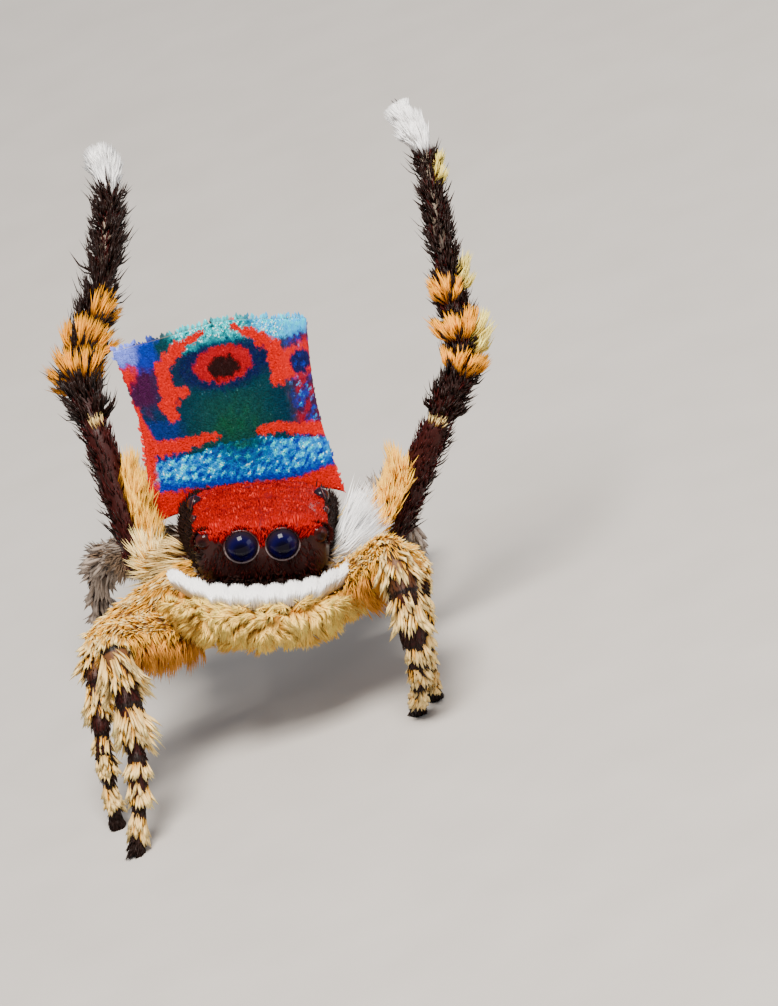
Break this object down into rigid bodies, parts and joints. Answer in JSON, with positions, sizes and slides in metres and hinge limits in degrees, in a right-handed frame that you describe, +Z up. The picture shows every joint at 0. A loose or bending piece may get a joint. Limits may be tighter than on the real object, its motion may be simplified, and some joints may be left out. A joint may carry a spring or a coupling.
{
  "type": "peacock spider",
  "caption": "Life-size still model of a male peacock spider in display, fan and third legs raised, for a museum case.",
  "frame": {"origin": "middle of the bottom of the bounding box, on the floor that the feet rest on", "axes": "+X to the spider's own left, -Y the way it faces, +Z up from the floor"},
  "size_m": [0.0058, 0.0064, 0.0055],
  "materials": {
    "carapace_setae": "satin",
    "eye_lens": "gloss",
    "jaw_shell": "satin",
    "white_setae": "matt",
    "fan_scales": "satin",
    "abdomen_setae": "matt",
    "leg_setae": "matt",
    "third_leg_setae": "matt"
  },
  "bodies": {
    "root": {"abdomen": "fan_scales", "cephalothorax": "carapace_setae", "chelicera_left": "jaw_shell", "chelicera_right": "jaw_shell", "eye_anterior_lateral_left": "eye_lens", "eye_anterior_lateral_right": "eye_lens", "eye_anterior_median_left": "eye_lens", "eye_anterior_median_right": "eye_lens", "eye_posterior_lateral_left": "eye_lens", "eye_posterior_lateral_right": "eye_lens", "eye_posterior_median_left": "eye_lens", "eye_posterior_median_right": "eye_lens", "fan_flap_left": "fan_scales", "fan_flap_right": "fan_scales", "leg_1_left_femur": "leg_setae", "leg_1_left_tarsus": "leg_setae", "leg_1_left_tibia": "leg_setae", "leg_1_right_femur": "leg_setae", "leg_1_right_tarsus": "leg_setae", "leg_1_right_tibia": "leg_setae", "leg_2_left_femur": "leg_setae", "leg_2_left_tarsus": "leg_setae", "leg_2_left_tibia": "leg_setae", "leg_2_right_femur": "leg_setae", "leg_2_right_tarsus": "leg_setae", "leg_2_right_tibia": "leg_setae", "leg_3_left_femur": "third_leg_setae", "leg_3_left_metatarsus": "third_leg_setae", "leg_3_left_tarsus": "third_leg_setae", "leg_3_left_tibia": "third_leg_setae", "leg_3_right_femur": "third_leg_setae", "leg_3_right_metatarsus": "third_leg_setae", "leg_3_right_tarsus": "third_leg_setae", "leg_3_right_tibia": "third_leg_setae", "leg_4_left_femur": "leg_setae", "leg_4_left_tarsus": "leg_setae", "leg_4_left_tibia": "leg_setae", "leg_4_right_femur": "leg_setae", "leg_4_right_tarsus": "leg_setae", "leg_4_right_tibia": "leg_setae", "palp_left": "white_setae", "palp_right": "white_setae", "spinnerets": "abdomen_setae"}
  },
  "joints": []
}
